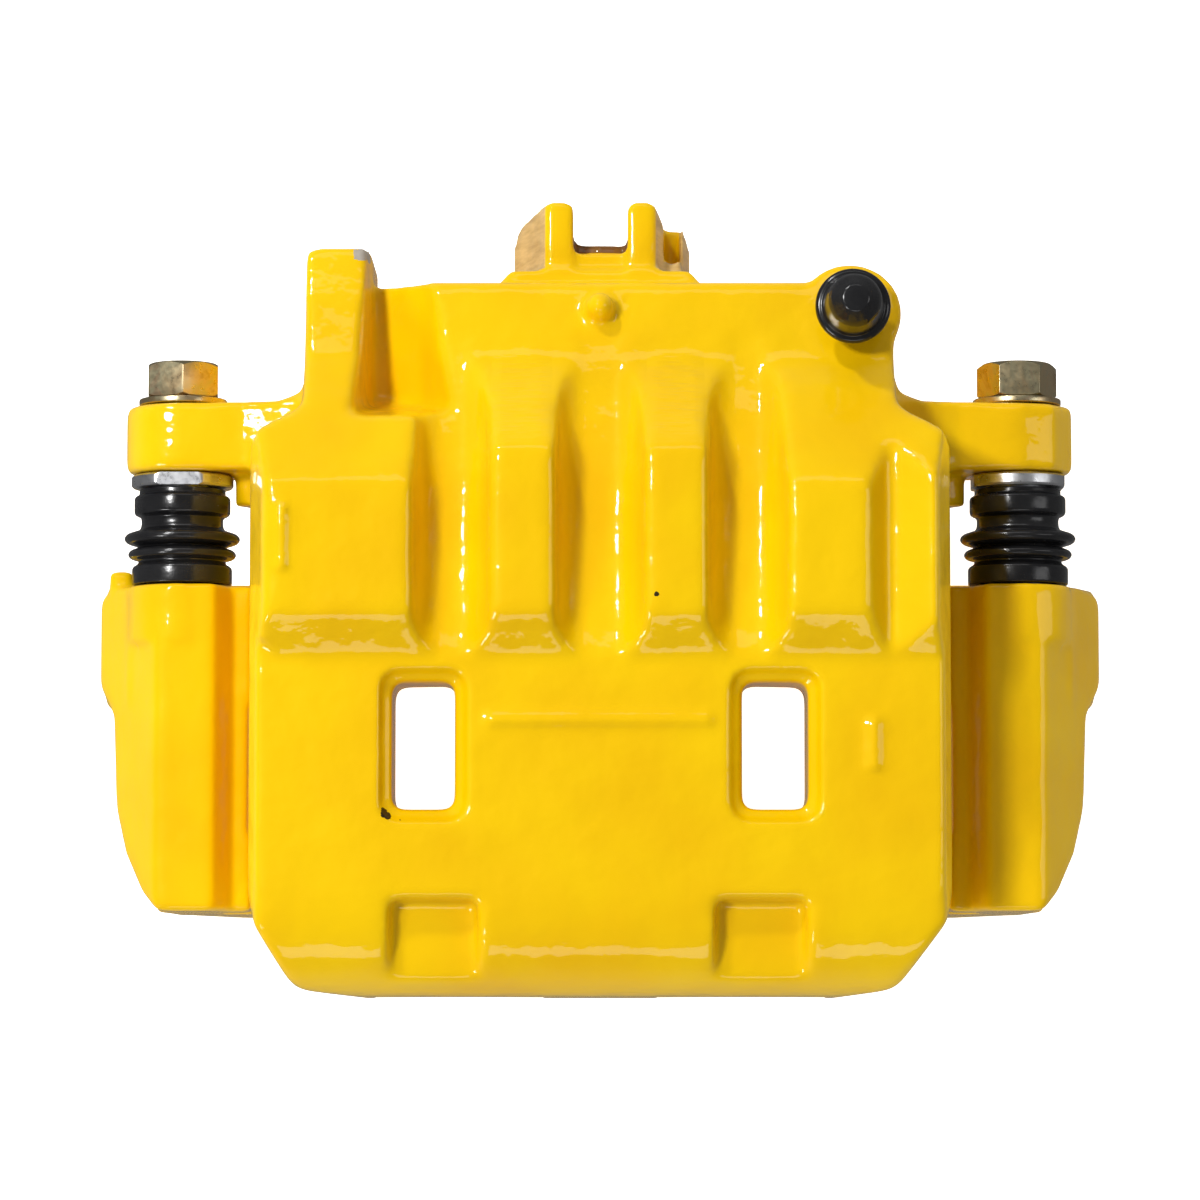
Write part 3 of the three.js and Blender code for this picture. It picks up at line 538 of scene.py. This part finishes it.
def bracket():
    obj = casting("bracket_casting", "bracket", BRACKET_PASSES)
    tools = []
    for side in SIDES.values():
        bore = [(0, -52), (4.85, -52), (4.85, -2.4), (8, -2.4), (8, 9), (0, 9)]
        tools.append(turned("bore", bore, (side * PIN_X, 0, 0), segments=64))
        hole = [(0, -30), (6, -30), (6, 5.2), (6.8, 6), (6.8, 12), (0, 12)]
        tools.append(turned("hole", hole, (side * KNUCKLE_X, 0, KNUCKLE_Z), segments=64))
        xs = sorted((side * 60, side * 76.5))
        tools.append(block("notch", xs, (-70, -40), (-22, -9)))
        tools.append(block("notch", xs, (-30, -5), (-22, -9)))
    boolean(obj, tools)
    smooth(obj, 50)
    finish(obj, PAINT, "bracket_body", ["bracket"], "cast_paint")


housing()
bracket()


# ---------- guide pins, bolts, washers ----------
def hex_outline(flats, turn):
    corner = flats / math.sqrt(3)
    return [
        (corner * math.cos(turn + i * math.pi / 3), corner * math.sin(turn + i * math.pi / 3))
        for i in range(6)
    ]


def guide_bolt(name, side, turn):
    seat = EAR_BACK + GAP + WASHER + GAP
    x = side * PIN_X
    outline = [(x + a, b) for a, b in hex_outline(14, turn)]
    head = extruded("guide_bolt_head_" + name, outline, "XZ", seat, 48)
    crown = [(0, seat), (7.4, seat), (8.6, seat + 0.8), (8.6, 46.6), (6.7, 48, 0.3), (0, 48)]
    boolean(head, [turned("crown", crown, (x, 0, 0), segments=144)], "INTERSECT")
    edge = head.modifiers.new("edge", "BEVEL")
    edge.width = 0.00022
    edge.segments = 2
    edge.limit_method = "ANGLE"
    edge.angle_limit = math.radians(35)
    baked(head)
    smooth(head, 30)
    finish(head, GOLD_ZINC, "housing_body", ["guide_bolt_" + name], "yellow_zinc")
    shank = [(0, 13), (3.2, 13), (3.9, 13.8), (3.9, seat + 0.2), (0, seat + 0.2)]
    stem = turned("guide_bolt_shank_" + name, shank, (x, 0, 0), segments=48)
    finish(stem, GOLD_ZINC, "housing_body", slot="yellow_zinc")


def guide_pin(name, side):
    x = side * PIN_X
    head = EAR_FRONT - GAP
    corners = [
        (0, -40),
        (3.9, -40, 0.3),
        (4.75, -39, 0.3),
        (4.75, 9, 0.3),
        (6.5, 10.5, 0.3),
        (6.5, head - 2.5),
        (9.9, head - 2.5),
        (10.3, head - 2.1),
        (10.3, head - 0.4),
        (9.9, head),
        (0, head),
    ]
    if side > 0:
        corners[2:4] = [
            (4.75, -39),
            (4.75, -36.3),
            (3.3, -36.3),
            (3.3, -23.7),
            (4.75, -23.7),
            (4.75, 9, 0.3),
        ]
    pin = turned("guide_pin_steel_" + name, corners, (x, 0, 0), segments=96)
    half = 18.3 / 2
    if side > 0:
        flats = block("flats", (x - half, x + half), (-60, 40), (-20, 20))
    else:
        flats = block("flats", (x - 20, x + 20), (-60, 40), (-half, half))
    boolean(pin, [flats], "INTERSECT")
    thread = [(0, 12.4), (4.2, 12.4), (4.2, 40), (0, 40)]
    boolean(pin, [turned("thread", thread, (x, 0, 0), segments=48)])
    smooth(pin, 30)
    finish(pin, SILVER_ZINC, "housing_body", ["guide_pin_" + name], "silver_zinc")


def washer(name, side):
    low, high = EAR_BACK + GAP, EAR_BACK + GAP + WASHER
    corners = [(4.2, low), (8.9, low, 0.3), (8.9, high, 0.4), (4.2, high)]
    ring = turned("guide_bolt_washer_plate_" + name, corners, (side * PIN_X, 0, 0))
    finish(ring, GOLD_ZINC, "housing_body", ["guide_bolt_washer_" + name], "yellow_zinc")


PIN_BOOT = [
    (7.6, -1.9, 0.4),
    (7.6, 2.9),
    (10.1, 2.9, 0.5),
    (10.1, 6.5, 0.8),
    (9.0, 7.1, 0.4),
    (8.7, 7.8, 0.4),
    (10.5, 8.3, 0.5),
    (11.0, 9.1, 0.5),
    (10.5, 9.9, 0.5),
    (8.6, 10.6, 0.4),
    (11.2, 11.4, 0.6),
    (11.8, 12.3, 0.6),
    (11.2, 13.2, 0.6),
    (8.5, 14.1, 0.6),
    (8.2, 15.3, 0.6),
    (8.3, 16.6, 0.5),
    (9.7, 17.2, 0.7),
    (9.7, 20.7, 0.9),
    (8.7, 21.2, 0.3),
    (8.7, 22.3, 0.3),
    (6.8, 22.3),
    (6.8, 15, 0.5),
    (7.2, 14, 0.5),
    (9.9, 12.3, 0.6),
    (7.3, 10.8, 0.6),
    (9.1, 9.1, 0.5),
    (7.4, 7.8, 0.5),
    (6.4, 6.4, 0.5),
    (6.4, -1.9),
]

for name, side in SIDES.items():
    guide_bolt(name, side, math.radians(25.7) if side < 0 else 0)
    guide_pin(name, side)
    washer(name, side)
    boot = turned("guide_pin_bellows_" + name, PIN_BOOT, (side * PIN_X, 0, 0), segments=96, steps=4)
    finish(boot, RUBBER, None, ["guide_pin_boot_" + name], "rubber")
    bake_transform(boot)


# ---------- pistons and their boots ----------
PISTON = [
    (0, 37),
    (21.4, 37, 0.3),
    (22.4, 36, 0.3),
    (22.4, -3.3),
    (21.4, -3.3),
    (21.4, -4.7),
    (22.4, -4.7),
    (22.4, -5.5, 0.4),
    (17.4, -5.5, 0.4),
    (17.4, 26, 1.5),
    (15.4, 28, 1.5),
    (0, 28),
]
DUST_BOOT = [
    (25.9, 0.7),
    (25.9, -1.6),
    (24.4, -1.6),
    (24.2, -3.2, 0.5),
    (23.5, -4.6, 0.5),
    (21.7, -4.4),
    (21.7, -3.6),
    (22.8, -3.4, 0.3),
    (23.2, -2.4, 0.3),
    (23.4, 0.7),
]

for name, side in SIDES.items():
    centre = (side * PISTON_X, 0, PISTON_Z)
    piston = turned("piston_cup_" + name, PISTON, centre, segments=128)
    finish(piston, PISTON_STEEL, "piston_%s_body" % name, ["piston_" + name], "piston_steel")
    dust = turned("piston_dust_bellows_" + name, DUST_BOOT, centre, segments=128)
    finish(dust, RUBBER, None, ["piston_dust_boot_" + name], "rubber")
    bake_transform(dust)


# ---------- bleeder ----------
def bleeder():
    centre = (BLEEDER_X, BLEEDER_Y, 0)
    body = [
        (0, 6.8),
        (1.4, 6.8),
        (3.7, 9.6, 0.3),
        (3.7, BOSS_TOP + 0.6),
        (3.0, BOSS_TOP + 0.6),
        (3.0, BOSS_TOP + 4.5),
        (3.2, BOSS_TOP + 5.2, 0.3),
        (3.2, BOSS_TOP + 6.6, 0.5),
        (2.3, BOSS_TOP + 7.2, 0.4),
        (3.0, BOSS_TOP + 8.2, 0.4),
        (2.2, BOSS_TOP + 9.2, 0.3),
        (0.9, BOSS_TOP + 9.2, 0.1),
        (0.9, 14),
        (0, 14),
    ]
    screw = turned("bleeder_nipple", body, centre, "Z", 64)
    finish(screw, GOLD_ZINC, "bleeder_screw_body", ["bleeder_screw"], "yellow_zinc")
    outline = [(BLEEDER_X + a, BLEEDER_Y + b) for a, b in hex_outline(8, 0)]
    nut = extruded("bleeder_hex", outline, "XY", BOSS_TOP + 0.3, BOSS_TOP + 5)
    crown = [
        (3.0, BOSS_TOP + 0.3),
        (4.2, BOSS_TOP + 0.3),
        (4.8, BOSS_TOP + 0.8),
        (4.8, BOSS_TOP + 4.4),
        (4.1, BOSS_TOP + 5),
        (3.0, BOSS_TOP + 5),
    ]
    boolean(nut, [turned("crown", crown, centre, "Z", 96)], "INTERSECT")
    smooth(nut, 30)
    finish(nut, GOLD_ZINC, "bleeder_screw_body", slot="yellow_zinc")
    cap = [
        (5.1, BOSS_TOP + 0.3),
        (7.4, BOSS_TOP + 0.3, 0.3),
        (7.5, BOSS_TOP + 1.4, 0.5),
        (7.0, BOSS_TOP + 2.1, 0.5),
        (6.1, BOSS_TOP + 2.2, 0.3),
        (5.25, BOSS_TOP + 9.3, 0.5),
        (4.7, BOSS_TOP + 10.4, 0.4),
        (2.6, BOSS_TOP + 12.8, 0.4),
        (0, BOSS_TOP + 12.9),
        (0, BOSS_TOP + 11),
        (3.6, BOSS_TOP + 9.6),
        (3.9, BOSS_TOP + 5.4),
        (4.95, BOSS_TOP + 5.3),
    ]
    cover = turned("bleeder_cap_moulding", cap, centre, "Z", 96)
    finish(cover, CAP_RUBBER, "bleeder_cap_body", ["bleeder_cap"], "rubber")


bleeder()

# ---------- CAD nodes that stay, with their finishes ----------
KEPT = {
    "piston_seal_left": RUBBER,
    "piston_seal_right": RUBBER,
    "guide_pin_sleeve": RUBBER,
    "dust_boot_ring_left": STAINLESS,
    "dust_boot_ring_right": STAINLESS,
    "pad_clip_outer_left": STAINLESS,
    "pad_clip_outer_right": STAINLESS,
    "pad_clip_inner_left": STAINLESS,
    "pad_clip_inner_right": STAINLESS,
}
for node, material in KEPT.items():
    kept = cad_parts[node]
    for slot in kept.material_slots:
        slot.link = "OBJECT"
        slot.material = material

# ---------- floor, light, camera ----------
floor_paper = Finish("floor_white", (0.86, 0.86, 0.86), 0.6)
paper_tone = floor_paper.noise(3, 2)
floor_paper.color(
    floor_paper.ramp(paper_tone, [(0.3, (0.84, 0.84, 0.84)), (0.7, (0.87, 0.87, 0.87))])
)
floor_paper.shader.inputs["Emission Color"].default_value = (1, 1, 1, 1)
floor_paper.shader.inputs["Emission Strength"].default_value = 1.0
bm = bmesh.new()
bmesh.ops.create_grid(bm, x_segments=4, y_segments=4, size=2.5)
floor_mesh = bpy.data.meshes.new("floor")
bm.to_mesh(floor_mesh)
bm.free()
floor = new_object("floor", floor_mesh, floor_paper.material)
floor.location.z = -0.0003
floor.visible_glossy = False  # the paint mirrors a dark studio, not its paper


def area_light(name, location, target, size, power):
    data = bpy.data.lights.new(name, "AREA")
    data.shape = "RECTANGLE"
    data.size, data.size_y = size
    data.energy = power
    lamp = bpy.data.objects.new(name, data)
    bpy.context.scene.collection.objects.link(lamp)
    lamp.location = location
    way = Vector(target) - Vector(location)
    lamp.rotation_euler = way.to_track_quat("-Z", "Y").to_euler()


area_light("key", (-0.69, 0.33, 1.29), (0, 0, 0.06), (0.2, 0.2), 12)
area_light("back_left", (-0.60, 1.17, 0.98), (0, 0, 0.06), (0.12, 0.12), 8.5)
area_light("front_left", (-0.95, -0.95, 0.95), (0, 0, 0.06), (0.3, 0.3), 6)
area_light("back", (0.1, 1.25, 1.0), (0, 0, 0.05), (0.9, 0.4), 1.4)
area_light("right", (1.25, 0.1, 1.0), (0, 0, 0.05), (0.4, 0.9), 2.2)
area_light("front", (0.1, -1.35, 1.0), (0, 0, 0.05), (0.9, 0.4), 3)

world = bpy.data.worlds.new("studio")
bpy.context.scene.world = world
world.use_nodes = True
world.node_tree.nodes["Background"].inputs["Color"].default_value = (1, 1, 1, 1)
world.node_tree.nodes["Background"].inputs["Strength"].default_value = 0.16
bpy.context.scene.view_settings.view_transform = "Standard"

# About 1 m above the pins, outboard of the centre, as the tall pieces' lean shows.
CAMERA_PLACE, CAMERA_AIM, CAMERA_LENS = (0, -86, 1000), (0, -1, 12), 149
camera_data = bpy.data.cameras.new("camera")
camera = bpy.data.objects.new("camera", camera_data)
bpy.context.scene.collection.objects.link(camera)
camera.location = at(*CAMERA_PLACE)
aim = at(*CAMERA_AIM)
look = (aim - camera.location).normalized()
side_way = look.cross(Vector((0, 1, 0))).normalized()
up_way = side_way.cross(look)
camera.rotation_euler = Matrix((side_way, up_way, -look)).transposed().to_euler()
camera_data.sensor_width = 36
camera_data.lens = CAMERA_LENS
camera_data.clip_start = 0.01
camera_data.clip_end = 20
bpy.context.scene.camera = camera
